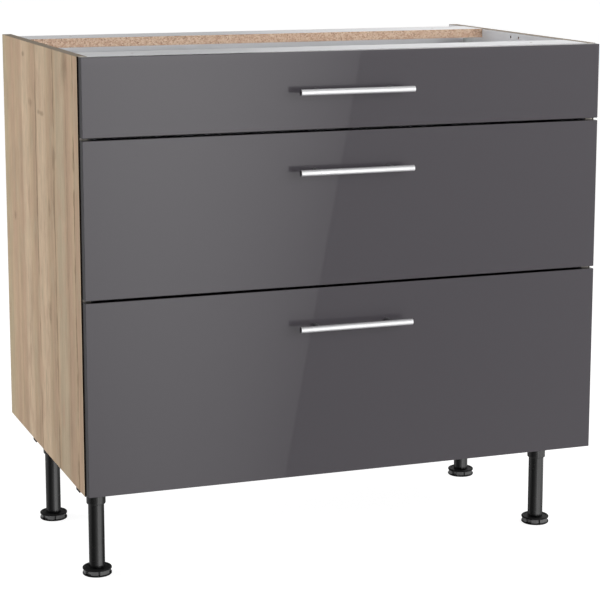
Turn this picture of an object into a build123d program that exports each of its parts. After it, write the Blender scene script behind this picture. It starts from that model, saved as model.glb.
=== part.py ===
"""Kitchen base cabinet with three drawers on full-extension runners and four adjustable legs.

Millimetres, +Z up, the user stands on the -Y side. The origin is on the floor, midway between
the outer faces of the side panels and midway between the front of the handles and the rear edges
of the side panels. The drawers are shut and the adjuster feet are screwed right in.
"""

import os
from math import cos, pi, radians, sin

from build123d import *

os.makedirs("parts", exist_ok=True)

# ---------------------------------------------------------------- driving dimensions, mm

# Carcass
cabinet_width = 900.0
carcass_height = 704.0
carcass_depth = 563.0
board = 16.0  # faced chipboard of the sides, the bottom and the rails
edge_band = 0.8
top_rail_depth = 85.0
service_void = 63.0  # from the back panel to the rear edges of the sides
back_board = 3.0
back_groove_depth = 7.0
board_fit = 0.2  # all the play that a board has in its groove

# Fronts
front_board = 16.0
front_stand_off = 2.0  # from the back of the fronts to the carcass
front_side_reveal = 2.0
front_bottom_reveal = 2.5
front_top_reveal = 0.5
front_gap = 4.0
bottom_front_height = 316.0
top_front_height = 125.0  # the middle front takes what is left
front_edge_radius = 0.8

# Handles
handle_bar_diameter = 10.0
handle_length = 197.0
handle_end_radius = 0.6
handle_projection = 32.0
handle_post_diameter = 9.0
handle_post_spacing = 128.0
handle_below_front_top = 62.5

# Drawer boxes
drawer_board = 16.0
drawer_base_board = 8.0
drawer_base_lift = 10.0  # underside of the base above the lower edges of the box sides
drawer_groove_depth = 6.0
drawer_rear_clearance = 43.0  # from the back of a box to the back panel
top_box_lift, top_box_headroom = 6.0, 53.0  # inside the lower and upper edges of the front
middle_box_lift, middle_box_headroom = 16.0, 76.0
bottom_box_lift, bottom_box_headroom = 30.0, 96.0

# Runners, one pair to a drawer, each of three nested channels
runner_height = 45.0
runner_thickness = 12.7
runner_sheet = 1.2
runner_play = 0.4  # between the flanges of one channel and the next
runner_setback = 2.0  # behind the front edges of the sides
runner_end_gap = 2.0  # in front of the rear end of the box
runner_above_box_bottom = 42.0
runner_screw_gap = 0.6  # from the screw heads on the cabinet channel to the middle one
cabinet_flange_gap = 2.0  # from the cabinet channel to the side of the drawer box
middle_flange_gap = 1.6  # from the middle channel to the side of the drawer box
drawer_flange_gap = 0.8  # from the drawer channel to the web of the middle one

# Legs
leg_height = 166.0  # floor to the underside of the carcass, adjuster screwed right in
leg_inset = 43.0  # from the outer face of a side to the axis of its legs
front_leg_setback = 100.5
rear_leg_setback = 142.5
plate_diameter = 76.0
plate_thickness = 4.0
plate_screw_circle = 58.0
plate_arm_reach = 53.0  # how far in front of the axis the arm's pad meets the outer face
plate_arm_width = 23.0
plate_ribs = 6
plate_rib_thickness = 2.4
plate_rib_drop = 22.0
plate_rib_margin = 3.0
socket_diameter = 32.0
socket_depth = 44.0
socket_rim_radius = 1.5
tube_diameter = 26.6
tube_bore = 19.8
tube_fit = 0.1
foot_play = 0.3  # between the end of the tube and the adjuster's disc
disc_diameter = 48.8
disc_height = 12.5
disc_flange = 2.7
disc_pad_diameter = 46.0
disc_core_diameter = 38.0
disc_dish_diameter = 42.0
disc_dish_depth = 1.0
disc_edge_chamfer = 1.0
disc_pads = 3
pad_start, pad_stop = -42.0, 47.0  # degrees from the front
pad_slot, pad_slot_width = -6.0, 7.0
thread_fit = 0.1
thread_pitch = 3.0
thread_depth = 1.0
thread_turns = 17

# Connectors and screws
dowel_diameter = 8.0
dowel_length = 30.0
dowel_in_side = 9.0
dowel_edge_inset = 16.0
cam_diameter = 15.0
cam_depth = 12.5
cam_inset = 24.0  # from the end of the board to the middle of the cam
cam_level = 8.0  # from the face that holds the cam to the axis of its bolt
cam_cross_width = 1.2
cam_cross_depth = 1.2
cam_bolt_diameter = 5.0
cam_bolt_in_board = 11.0
cam_neck_diameter = 4.0
cam_head_diameter = 6.6
cam_head_length = 4.0
cam_socket_diameter = 7.4
system_pitch = 32.0
system_hole_diameter = 5.0
system_hole_depth = 12.0
spare_rail_setback = 274.5  # middle of the spare pair of rail holes in each side
worktop_hole_diameter = 5.0
worktop_hole_inset = 84.0  # from the end of a rail
hole_play = 0.1  # all round a screw, dowel or cam in its hole
screw_recess_width = 0.9
screw_recess_depth = 0.8

# Screws: shank diameter, length, head diameter, head height
runner_screw_size = (4.0, 12.0, 7.4, 1.6)
box_screw_size = (3.5, 40.0, 6.6, 1.8)
base_screw_size = (3.0, 25.0, 5.6, 1.6)
plate_screw_size = (3.5, 15.0, 7.0, 2.0)
back_screw_size = (3.0, 20.0, 6.0, 1.6)
handle_screw_size = (4.0, 26.0, 8.4, 2.4)

# Where they go
cabinet_screw_start = 37.0  # behind the front end of a runner
cabinet_screw_pitch = 128.0
cabinet_screw_end = 45.0  # in front of its rear end
drawer_screw_inset = 60.0  # from either end of a runner
box_screw_margin = 12.0  # from the top of the base and the top of the box
box_screw_sink = 2.2  # head below the face of the side
base_screw_inset = 60.0  # from either end of the box back
connector_above_base = 12.0
connector_below_top = 14.0
back_screw_inset = 40.0  # from either end of the back panel
back_screw_columns = 4

# ---------------------------------------------------------------- levels worked out from them

overall_depth = handle_projection + front_board + front_stand_off + carcass_depth
carcass_front = -overall_depth / 2 + handle_projection + front_board + front_stand_off
carcass_rear = overall_depth / 2
carcass_bottom = leg_height
carcass_top = leg_height + carcass_height
half_width = cabinet_width / 2
half_inside = half_width - board
board_front = carcass_front + edge_band
back_front = carcass_rear - service_void - back_board  # front face of the back panel
rear_rail_front = back_front - top_rail_depth
inside_bottom = carcass_bottom + board
rail_bottom = carcass_top - board

front_back = carcass_front - front_stand_off  # back faces of the fronts
front_face = front_back - front_board
front_width = cabinet_width - 2 * front_side_reveal
bar_axis = front_face - handle_projection + handle_bar_diameter / 2

bottom_front_low = carcass_bottom + front_bottom_reveal
middle_front_low = bottom_front_low + bottom_front_height + front_gap
top_front_low = carcass_top - front_top_reveal - top_front_height
middle_front_height = top_front_low - front_gap - middle_front_low

half_box = half_inside - runner_thickness
half_box_inside = half_box - drawer_board
box_rear = back_front - drawer_rear_clearance

runner_front = carcass_front + runner_setback
runner_length = box_rear - runner_end_gap - runner_front
middle_web = runner_sheet + runner_screw_size[3] + runner_screw_gap  # near face, from the panel
drawer_web = runner_thickness - runner_sheet
cabinet_flange = runner_thickness - cabinet_flange_gap
middle_flange = runner_thickness - middle_flange_gap - middle_web
drawer_flange = runner_thickness - drawer_flange_gap - middle_web - runner_sheet

leg_x = half_width - leg_inset
front_leg_y = carcass_front + front_leg_setback
rear_leg_y = carcass_rear - rear_leg_setback
plate_bottom = carcass_bottom - plate_thickness
tube_bottom = disc_height + foot_play

# Where dowels and cam connectors join the carcass: (Y, Z) on the inner face of a side
bottom_joint_z = carcass_bottom + cam_level
rail_joint_z = rail_bottom + cam_level
between_legs = (front_leg_y + rear_leg_y) / 2
front_rail_middle = board_front + (top_rail_depth - edge_band) / 2
rear_rail_middle = rear_rail_front + top_rail_depth / 2
rail_middles = (front_rail_middle, rear_rail_middle)
bottom_cam_ys = (between_legs - 2 * system_pitch, between_legs + 2 * system_pitch)
bottom_dowel_ys = (board_front + dowel_edge_inset, between_legs, back_front - dowel_edge_inset)
cam_points = [(y, bottom_joint_z) for y in bottom_cam_ys]
cam_points += [(y - system_pitch / 2, rail_joint_z) for y in rail_middles]
dowel_points = [(y, bottom_joint_z) for y in bottom_dowel_ys]
dowel_points += [(y + system_pitch / 2, rail_joint_z) for y in rail_middles]

# Screws of the runners, as distances behind the front end of a channel
cabinet_screw_steps = (
    cabinet_screw_start,
    cabinet_screw_start + cabinet_screw_pitch,
    runner_length - cabinet_screw_end,
)
drawer_screw_steps = (drawer_screw_inset, runner_length / 2, runner_length - drawer_screw_inset)

# name, lower edge and height of the front, and how far the box lies inside its two edges
drawers = (
    ("top", top_front_low, top_front_height, top_box_lift, top_box_headroom),
    ("middle", middle_front_low, middle_front_height, middle_box_lift, middle_box_headroom),
    ("bottom", bottom_front_low, bottom_front_height, bottom_box_lift, bottom_box_headroom),
)

DOWN = (0, 0, -1)
FRONT, REAR = (0, -1, 0), (0, 1, 0)


# ---------------------------------------------------------------- shared shapes


def facing(point, normal, along=None):
    """A place on a face: Z of the place is the face's outward normal, X of it runs along."""
    return Plane(origin=point, x_dir=along, z_dir=normal).location


def fill(x, y, z, mode=Mode.ADD):
    """Add or cut a block that fills the spans (low, high) in X, Y and Z."""
    middle = ((x[0] + x[1]) / 2, (y[0] + y[1]) / 2, (z[0] + z[1]) / 2)
    with Locations(middle):
        Box(x[1] - x[0], y[1] - y[0], z[1] - z[0], mode=mode)


def drill(places, diameter, depth):
    """Cut a hole of this depth into the face at each place."""
    with Locations(*places):
        Cylinder(
            diameter / 2,
            depth,
            align=(Align.CENTER, Align.CENTER, Align.MAX),
            mode=Mode.SUBTRACT,
        )


def repeat(shape, places):
    """Add a copy of the shape at each place."""
    with Locations(*places):
        add(shape)


def pan_screw(diameter, length, head_diameter, head_height):
    """A cross-recessed screw: head above its seat at Z 0, shank and point below it."""
    shank, head = diameter / 2, head_diameter / 2
    with BuildPart() as screw:
        with BuildSketch(Plane.XZ):
            with BuildLine():
                Polyline(
                    (0, head_height),
                    (head * 0.6, head_height),
                    (head, head_height * 0.5),
                    (head, 0),
                    (shank, 0),
                    (shank, diameter - length),
                    (0, -length),
                    close=True,
                )
            make_face()
        revolve(axis=Axis.Z)
        with Locations((0, 0, head_height)):
            for turn in (0, 90):
                Box(
                    head,
                    screw_recess_width,
                    2 * screw_recess_depth,
                    rotation=(0, 0, turn),
                    mode=Mode.SUBTRACT,
                )
    return screw.part


def dowel():
    """A chamfered wooden dowel along Z, its middle at the origin."""
    with BuildPart() as peg:
        Cylinder(dowel_diameter / 2, dowel_length)
        chamfer(peg.edges().filter_by(GeomType.CIRCLE), 1.0)
    return peg.part


def cam_housing():
    """An eccentric cam in a face at Z 0, its socket open towards +X at the bolt's level."""
    with BuildPart() as cam:
        Cylinder(cam_diameter / 2, cam_depth, align=(Align.CENTER, Align.CENTER, Align.MAX))
        with Locations(Location((-cam_head_length / 2 - hole_play, 0, -cam_level), (0, 90, 0))):
            Cylinder(
                cam_socket_diameter / 2,
                cam_diameter,
                align=(Align.CENTER, Align.CENTER, Align.MIN),
                mode=Mode.SUBTRACT,
            )
        for turn in (0, 90):
            Box(
                cam_diameter * 0.6,
                cam_cross_width,
                2 * cam_cross_depth,
                rotation=(0, 0, turn),
                mode=Mode.SUBTRACT,
            )
    return cam.part


def cam_bolt():
    """A cam bolt along Z: thread below Z 0, neck and head above it."""
    thread, neck, head = cam_bolt_diameter / 2, cam_neck_diameter / 2, cam_head_diameter / 2
    neck_end = cam_inset - cam_head_length / 2
    with BuildPart() as bolt:
        with BuildSketch(Plane.XZ):
            with BuildLine():
                Polyline(
                    (0, -cam_bolt_in_board),
                    (thread * 0.6, -cam_bolt_in_board),
                    (thread, thread - cam_bolt_in_board),
                    (thread, 0),
                    (neck, 0),
                    (neck, neck_end),
                    (head, neck_end),
                    (head, neck_end + cam_head_length - 1),
                    (head - 1, neck_end + cam_head_length),
                    (0, neck_end + cam_head_length),
                    close=True,
                )
            make_face()
        revolve(axis=Axis.Z)
    return bolt.part


def hole_for(size):
    """Diameter and depth of the hole that a screw of this size goes into."""
    return size[0] + 2 * hole_play, size[1] + hole_play


runner_screw = pan_screw(*runner_screw_size)
box_screw = pan_screw(*box_screw_size)
base_screw = pan_screw(*base_screw_size)
plate_screw = pan_screw(*plate_screw_size)
back_screw = pan_screw(*back_screw_size)
handle_screw = pan_screw(*handle_screw_size)
peg = dowel()
cam = cam_housing()
bolt = cam_bolt()


def cam_pockets(places):
    """Cut, at each cam, its pocket and the bore that its bolt comes in by, along X of the place."""
    drill(places, cam_diameter + 2 * hole_play, cam_depth + hole_play)
    for place in places:
        with Locations(place * Location((0, 0, -cam_level), (0, 90, 0))):
            Cylinder(
                cam_socket_diameter / 2,
                cam_inset,
                align=(Align.CENTER, Align.CENTER, Align.MIN),
                mode=Mode.SUBTRACT,
            )


# ---------------------------------------------------------------- carcass

for hand, side_name in ((-1, "left"), (1, "right")):
    inner = hand * half_inside
    inward = (-hand, 0, 0)
    runner_holes = [
        facing((inner, runner_front + step, low + lift + runner_above_box_bottom), inward)
        for _, low, _, lift, _ in drawers
        for step in cabinet_screw_steps
    ]
    spare_holes = [
        facing((inner, carcass_front + spare_rail_setback + step, rail_joint_z), inward)
        for step in (-system_pitch / 2, system_pitch / 2)
    ]
    with BuildPart() as side_panel:
        with BuildSketch(Plane.XY.offset(carcass_bottom)):
            with Locations((hand * (half_width - board / 2), (board_front + carcass_rear) / 2)):
                Rectangle(board, carcass_rear - board_front)
            groove_x = inner + hand * back_groove_depth / 2
            with Locations((groove_x, back_front + back_board / 2)):
                Rectangle(back_groove_depth, back_board + board_fit, mode=Mode.SUBTRACT)
        extrude(amount=carcass_height)
        drill(runner_holes, *hole_for(runner_screw_size))
        drill(spare_holes, system_hole_diameter, system_hole_depth)
        drill(
            [facing((inner, y, z), inward) for y, z in cam_points],
            cam_bolt_diameter + 2 * hole_play,
            cam_bolt_in_board + hole_play,
        )
        drill(
            [facing((inner, y, z), inward) for y, z in dowel_points],
            dowel_diameter + 2 * hole_play,
            dowel_in_side + hole_play,
        )
    side_panel.part.label = f"{side_name}_side_panel"
    export_step(side_panel.part, f"parts/{side_name}_side_panel.step")


def board_ends(points):
    """Cut the dowel holes into both ends of a board between the sides."""
    for hand in (-1, 1):
        drill(
            [facing((hand * half_inside, y, z), (hand, 0, 0)) for y, z in points],
            dowel_diameter + 2 * hole_play,
            dowel_length - dowel_in_side + hole_play,
        )


def cams_below(points):
    """Places of the cams in the underside of a board, at both of its ends."""
    return [
        facing((hand * (half_inside - cam_inset), y, z - cam_level), DOWN, (hand, 0, 0))
        for y, z in points
        for hand in (-1, 1)
    ]


# Plates of the legs under the bottom panel: right-hand ones are turned half round
leg_places = [
    Location((hand * leg_x, y, 0), (0, 0, 0 if hand < 0 else 180))
    for y in (front_leg_y, rear_leg_y)
    for hand in (-1, 1)
]
plate_screw_points = [
    (plate_screw_circle / 2 * cos(radians(turn)), plate_screw_circle / 2 * sin(radians(turn)))
    for turn in (45, 135, 225, 315)
]
plate_screw_places = [
    leg * Location((x, y, plate_bottom)) for leg in leg_places for x, y in plate_screw_points
]
turned_over = Location((0, 0, 0), (180, 0, 0))

back_screw_pitch = 2 * (half_inside - back_screw_inset) / (back_screw_columns - 1)
back_screw_xs = [
    back_screw_inset - half_inside + column * back_screw_pitch for column in range(back_screw_columns)
]
back_screw_places = [
    facing((x, back_front + back_board, z), REAR)
    for x in back_screw_xs
    for z in (bottom_joint_z, rail_joint_z)
]

with BuildPart() as bottom_panel:
    fill((-half_inside, half_inside), (board_front, back_front), (carcass_bottom, inside_bottom))
    board_ends([(y, bottom_joint_z) for y in bottom_dowel_ys])
    cam_pockets(cams_below([(y, bottom_joint_z) for y in bottom_cam_ys]))
    drill([place * turned_over for place in plate_screw_places], *hole_for(plate_screw_size))
    drill(back_screw_places, *hole_for(back_screw_size))
bottom_panel.part.label = "bottom_panel"
export_step(bottom_panel.part, "parts/bottom_panel.step")

for rail_name, rail_front, rail_middle in (
    ("front_top_rail", board_front, front_rail_middle),
    ("rear_top_rail", rear_rail_front, rear_rail_middle),
):
    rail_rear = 2 * rail_middle - rail_front
    own_dowel = [(rail_middle + system_pitch / 2, rail_joint_z)]
    own_cam = [(rail_middle - system_pitch / 2, rail_joint_z)]
    with BuildPart() as top_rail:
        fill((-half_inside, half_inside), (rail_front, rail_rear), (rail_bottom, carcass_top))
        board_ends(own_dowel)
        cam_pockets(cams_below(own_cam))
        hole_x = half_inside - worktop_hole_inset
        worktop_holes = [(x, rail_middle, carcass_top) for x in (-hole_x, hole_x)]
        drill(worktop_holes, worktop_hole_diameter, board)
        if rail_name == "rear_top_rail":
            drill(back_screw_places, *hole_for(back_screw_size))
    top_rail.part.label = rail_name
    export_step(top_rail.part, f"parts/{rail_name}.step")

with BuildPart() as back_panel:
    half_back = half_inside + back_groove_depth - board_fit / 2
    fill((-half_back, half_back), (back_front, back_front + back_board), (carcass_bottom, carcass_top))
    drill(back_screw_places, hole_for(back_screw_size)[0], back_board)
back_panel.part.label = "back_panel"
export_step(back_panel.part, "parts/back_panel.step")

with BuildPart() as carcass_edge_bands:
    for hand in (-1, 1):
        across = sorted((hand * half_inside, hand * half_width))
        fill(across, (carcass_front, board_front), (carcass_bottom, carcass_top))
    inside = (-half_inside + board_fit, half_inside - board_fit)
    fill(inside, (carcass_front, board_front), (carcass_bottom, inside_bottom))
    fill(inside, (carcass_front, board_front), (rail_bottom, carcass_top))
carcass_edge_bands.part.label = "carcass_edge_bands"
export_step(carcass_edge_bands.part, "parts/carcass_edge_bands.step")

with BuildPart() as carcass_dowels:
    dowel_x = half_inside - dowel_length / 2 + dowel_in_side
    for hand in (-1, 1):
        repeat(peg, [facing((hand * dowel_x, y, z), (hand, 0, 0)) for y, z in dowel_points])
carcass_dowels.part.label = "carcass_dowels"
export_step(carcass_dowels.part, "parts/carcass_dowels.step")

with BuildPart() as carcass_connectors:
    repeat(cam, cams_below(cam_points))
    for hand in (-1, 1):
        repeat(bolt, [facing((hand * half_inside, y, z), (-hand, 0, 0)) for y, z in cam_points])
carcass_connectors.part.label = "carcass_connectors"
export_step(carcass_connectors.part, "parts/carcass_connectors.step")

with BuildPart() as back_panel_screws:
    repeat(back_screw, back_screw_places)
back_panel_screws.part.label = "back_panel_screws"
export_step(back_panel_screws.part, "parts/back_panel_screws.step")

# ---------------------------------------------------------------- legs

arm_angle = Vector(-leg_inset, -plate_arm_reach).get_angle(Vector(-1, 0))
arm_root = plate_arm_width * cos(radians(arm_angle)) / 2
root_x, root_y = arm_root * sin(radians(arm_angle)), arm_root * cos(radians(arm_angle))

with BuildPart() as leg_plate:
    with BuildSketch(Plane.XY.offset(plate_bottom)):
        Circle(plate_diameter / 2)
        with BuildLine():
            Polyline(
                (-leg_inset, -plate_arm_reach - plate_arm_width / 2),
                (root_x, -root_y),
                (-root_x, root_y),
                (-leg_inset, -plate_arm_reach + plate_arm_width / 2),
                close=True,
            )
        make_face()
    extrude(amount=plate_thickness)
    with BuildSketch(Plane.XY.offset(carcass_bottom - socket_depth)):
        Circle(socket_diameter / 2)
    extrude(amount=socket_depth - plate_thickness)
    rib_root = (tube_diameter + socket_diameter) / 4
    rib_tip = plate_diameter / 2 - plate_rib_margin
    for rib in range(plate_ribs):
        turn = 2 * pi * rib / plate_ribs
        with BuildSketch(Plane((0, 0, plate_bottom), (cos(turn), sin(turn), 0), (sin(turn), -cos(turn), 0))):
            with BuildLine():
                Polyline((rib_root, 0), (rib_tip, 0), (rib_root, -plate_rib_drop), close=True)
            make_face()
        extrude(amount=plate_rib_thickness / 2, both=True)
    fillet(
        leg_plate.edges().filter_by(GeomType.CIRCLE).group_by(Axis.Z)[0],
        socket_rim_radius,
    )
    with Locations((0, 0, plate_bottom)):
        Cylinder(
            tube_diameter / 2 + tube_fit,
            socket_depth,
            align=(Align.CENTER, Align.CENTER, Align.MAX),
            mode=Mode.SUBTRACT,
        )
    drill(
        [(x, y, carcass_bottom) for x, y in plate_screw_points],
        hole_for(plate_screw_size)[0],
        plate_thickness,
    )

with BuildPart() as leg_plates:
    repeat(leg_plate.part, leg_places)
leg_plates.part.label = "leg_plates"
export_step(leg_plates.part, "parts/leg_plates.step")

with BuildPart() as leg_plate_screws:
    repeat(plate_screw, [place * turned_over for place in plate_screw_places])
leg_plate_screws.part.label = "leg_plate_screws"
export_step(leg_plate_screws.part, "parts/leg_plate_screws.step")

with BuildPart() as leg_tubes:
    with BuildSketch(Plane.XY.offset(tube_bottom)):
        with Locations(*[leg.position for leg in leg_places]):
            Circle(tube_diameter / 2)
            Circle(tube_bore / 2, mode=Mode.SUBTRACT)
    extrude(amount=plate_bottom - tube_bottom)
leg_tubes.part.label = "leg_tubes"
export_step(leg_tubes.part, "parts/leg_tubes.step")


def wedge(reach, start, stop):
    """Corners of a wedge from the origin, between two angles in degrees."""
    return [(0, 0)] + [(reach * cos(radians(turn)), reach * sin(radians(turn))) for turn in (start, stop)]


crest = tube_bore / 2 - thread_fit
with BuildPart() as adjuster_foot:
    with BuildSketch(Plane.XZ):
        rim, core, root = disc_diameter / 2, disc_core_diameter / 2, crest - thread_depth
        dish = disc_height - disc_dish_depth
        outline = [(0, 0), (rim - disc_edge_chamfer, 0), (rim, disc_edge_chamfer), (rim, disc_flange)]
        outline += [(core, disc_flange), (core, disc_height - disc_flange), (rim, disc_height - disc_flange)]
        outline += [(rim, disc_height - disc_edge_chamfer), (rim - disc_edge_chamfer, disc_height)]
        outline += [(disc_dish_diameter / 2, disc_height), (disc_dish_diameter / 2 - disc_dish_depth, dish)]
        outline += [(root, dish)]
        for turn in range(thread_turns):
            turn_low = disc_height + (turn + 0.3) * thread_pitch
            outline += [(root, turn_low), (crest, turn_low + thread_pitch * 0.35)]
            outline += [(crest, turn_low + thread_pitch * 0.55), (root, turn_low + thread_pitch * 0.9)]
        outline += [(root, turn_low + thread_pitch), (0, turn_low + thread_pitch)]
        with BuildLine():
            Polyline(*outline, close=True)
        make_face()
    revolve(axis=Axis.Z)
    with BuildSketch(Plane.XY.offset(disc_flange)):
        Circle(disc_pad_diameter / 2)
        pad_step = 360 / disc_pads
        for pad in range(disc_pads):
            front_of_pad = -90 + pad_step * pad
            for start, stop in (
                (pad_stop, pad_start + pad_step),
                (pad_slot - pad_slot_width / 2, pad_slot + pad_slot_width / 2),
            ):
                with BuildLine():
                    Polyline(*wedge(disc_diameter, front_of_pad + start, front_of_pad + stop), close=True)
                make_face(mode=Mode.SUBTRACT)
        Circle(core - disc_dish_depth)
    extrude(amount=disc_height - 2 * disc_flange)

for leg, foot_name in zip(leg_places, ("front_left", "front_right", "rear_left", "rear_right")):
    with BuildPart() as foot:
        repeat(adjuster_foot.part, [Location(leg.position)])
    foot.part.label = f"{foot_name}_foot"
    export_step(foot.part, f"parts/{foot_name}_foot.step")

# ---------------------------------------------------------------- runners


def channel(web, flange, height, opens, z):
    """A pair of channels along Y at height z, one by each side panel, mirrored.

    web is the distance from the panel to the near face of the channel's web, and opens is 1
    where the flanges run from there towards the drawer and -1 where they run back.
    """
    panel = -half_inside
    near = panel + web
    web_span = (near, near + runner_sheet)
    flange_span = (near, near + flange) if opens > 0 else (near + runner_sheet - flange, near + runner_sheet)
    along = (runner_front, runner_front + runner_length)
    with BuildPart() as pair:
        fill(web_span, along, (z - height / 2, z + height / 2))
        for level in (z - height / 2, z + height / 2 - runner_sheet):
            fill(flange_span, along, (level, level + runner_sheet))
        mirror(about=Plane.YZ)
    return pair


middle_height = runner_height - 2 * runner_sheet - 2 * runner_play
drawer_channel_height = middle_height - 2 * runner_sheet - 2 * runner_play
all_cabinet_screws = []

for name, low, height, lift, headroom in drawers:
    box_low = low + lift
    box_high = low + height - headroom
    runner_z = box_low + runner_above_box_bottom
    base_low = box_low + drawer_base_lift
    base_high = base_low + drawer_base_board
    handle_z = low + height - handle_below_front_top
    post_xs = (-handle_post_spacing / 2, handle_post_spacing / 2)
    post_places = [facing((x, front_face, handle_z), FRONT) for x in post_xs]
    handle_screw_places = [facing((x, front_back, handle_z), REAR) for x in post_xs]

    # Runners
    cabinet_rails = channel(0, cabinet_flange, runner_height, 1, runner_z)
    cabinet_screw_places = [
        facing((hand * (half_inside - runner_sheet), runner_front + step, runner_z), (-hand, 0, 0))
        for hand in (-1, 1)
        for step in cabinet_screw_steps
    ]
    all_cabinet_screws += cabinet_screw_places
    with cabinet_rails:
        drill(cabinet_screw_places, hole_for(runner_screw_size)[0], runner_sheet)
    cabinet_rails.part.label = f"{name}_cabinet_rails"
    export_step(cabinet_rails.part, f"parts/{name}_cabinet_rails.step")

    middle_rails = channel(middle_web, middle_flange, middle_height, 1, runner_z)
    middle_rails.part.label = f"{name}_middle_rails"
    export_step(middle_rails.part, f"parts/{name}_middle_rails.step")

    drawer_rails = channel(drawer_web, drawer_flange, drawer_channel_height, -1, runner_z)
    drawer_screw_places = [
        facing((hand * (half_box + runner_sheet), runner_front + step, runner_z), (hand, 0, 0))
        for hand in (-1, 1)
        for step in drawer_screw_steps
    ]
    with drawer_rails:
        drill(drawer_screw_places, hole_for(runner_screw_size)[0], runner_sheet)
    drawer_rails.part.label = f"{name}_drawer_rails"
    export_step(drawer_rails.part, f"parts/{name}_drawer_rails.step")

    with BuildPart() as drawer_rail_screws:
        repeat(runner_screw, drawer_screw_places)
    drawer_rail_screws.part.label = f"{name}_drawer_rail_screws"
    export_step(drawer_rail_screws.part, f"parts/{name}_drawer_rail_screws.step")

    # Connectors between the front and the box sides
    connector_zs = (base_high + connector_above_base, box_high - connector_below_top)
    front_cams = [
        facing((hand * half_box_inside, front_back + cam_inset, z), (-hand, 0, 0), FRONT)
        for hand in (-1, 1)
        for z in connector_zs
    ]
    front_bolts = [
        facing((hand * (half_box_inside + cam_level), front_back, z), REAR)
        for hand in (-1, 1)
        for z in connector_zs
    ]
    with BuildPart() as front_connectors:
        repeat(cam, front_cams)
        repeat(bolt, front_bolts)
    front_connectors.part.label = f"{name}_front_connectors"
    export_step(front_connectors.part, f"parts/{name}_front_connectors.step")

    # Front with its handle
    with BuildPart() as front:
        fill((-front_width / 2, front_width / 2), (front_face, front_back), (low, low + height))
        fillet(front.edges(), front_edge_radius)
        drill(handle_screw_places, hole_for(handle_screw_size)[0], front_board)
        drill(front_bolts, cam_bolt_diameter + 2 * hole_play, cam_bolt_in_board + hole_play)
        fill(
            (-half_box_inside, half_box_inside),
            (front_back - drawer_groove_depth, front_back),
            (base_low, base_high + board_fit),
            mode=Mode.SUBTRACT,
        )
    front.part.label = f"{name}_front"
    export_step(front.part, f"parts/{name}_front.step")

    with BuildPart() as handle_bar:
        with Locations(Location((0, bar_axis, handle_z), (0, 90, 0))):
            Cylinder(handle_bar_diameter / 2, handle_length)
        fillet(handle_bar.edges().filter_by(GeomType.CIRCLE), handle_end_radius)
    handle_bar.part.label = f"{name}_handle_bar"
    export_step(handle_bar.part, f"parts/{name}_handle_bar.step")

    with BuildPart() as handle_posts:
        with Locations(*post_places):
            Cylinder(
                handle_post_diameter / 2,
                front_face - bar_axis,
                align=(Align.CENTER, Align.CENTER, Align.MIN),
            )
        with Locations(Location((0, bar_axis, handle_z), (0, 90, 0))):
            Cylinder(handle_bar_diameter / 2, handle_length, mode=Mode.SUBTRACT)
        with Locations(*post_places):
            Cylinder(
                hole_for(handle_screw_size)[0] / 2,
                hole_for(handle_screw_size)[1] - front_board,
                align=(Align.CENTER, Align.CENTER, Align.MIN),
                mode=Mode.SUBTRACT,
            )
    handle_posts.part.label = f"{name}_handle_posts"
    export_step(handle_posts.part, f"parts/{name}_handle_posts.step")

    with BuildPart() as handle_screws:
        repeat(handle_screw, handle_screw_places)
    handle_screws.part.label = f"{name}_handle_screws"
    export_step(handle_screws.part, f"parts/{name}_handle_screws.step")

    # Box: the back stands on the base, and the base runs in grooves of the sides and the front
    back_y = (box_rear - drawer_board, box_rear)
    screw_y = box_rear - drawer_board / 2
    box_screw_places = [
        facing((hand * (half_box - box_screw_sink), screw_y, z), (hand, 0, 0))
        for hand in (-1, 1)
        for z in (base_high + box_screw_margin, box_high - box_screw_margin)
    ]
    base_screw_x = half_box_inside - base_screw_inset
    base_screw_places = [facing((x, screw_y, base_low), DOWN) for x in (-base_screw_x, 0, base_screw_x)]
    for hand, side_name in ((-1, "left"), (1, "right")):
        side_x = sorted((hand * half_box_inside, hand * half_box))
        groove_x = sorted((hand * half_box_inside, hand * (half_box_inside + drawer_groove_depth)))
        own_cams = [place for place in front_cams if place.position.X * hand > 0]
        own_runner_screws = [place for place in drawer_screw_places if place.position.X * hand > 0]
        own_box_screws = [place for place in box_screw_places if place.position.X * hand > 0]
        with BuildPart() as drawer_side:
            fill(side_x, (front_back, box_rear), (box_low, box_high))
            fill(groove_x, (front_back, box_rear), (base_low, base_high + board_fit), mode=Mode.SUBTRACT)
            cam_pockets(own_cams)
            drill(own_runner_screws, *hole_for(runner_screw_size))
            drill(own_box_screws, hole_for(box_screw_size)[0], drawer_board)
            sink_mouths = [place * Location((0, 0, box_screw_sink)) for place in own_box_screws]
            drill(sink_mouths, box_screw_size[2] + 2 * hole_play, box_screw_sink)
        drawer_side.part.label = f"{name}_drawer_side_{side_name}"
        export_step(drawer_side.part, f"parts/{name}_drawer_side_{side_name}.step")

    with BuildPart() as drawer_back:
        fill((-half_box_inside, half_box_inside), back_y, (base_high, box_high))
        drill(box_screw_places, *hole_for(box_screw_size))
        drill(base_screw_places, *hole_for(base_screw_size))
    drawer_back.part.label = f"{name}_drawer_back"
    export_step(drawer_back.part, f"parts/{name}_drawer_back.step")

    half_base = half_box_inside + drawer_groove_depth - board_fit / 2
    half_base_in_front = half_box_inside - board_fit / 2
    with BuildPart() as drawer_base:
        fill((-half_base, half_base), (front_back, box_rear), (base_low, base_high))
        fill(
            (-half_base_in_front, half_base_in_front),
            (front_back - drawer_groove_depth + board_fit / 2, front_back),
            (base_low, base_high),
        )
        drill(base_screw_places, hole_for(base_screw_size)[0], drawer_base_board)
    drawer_base.part.label = f"{name}_drawer_base"
    export_step(drawer_base.part, f"parts/{name}_drawer_base.step")

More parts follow.
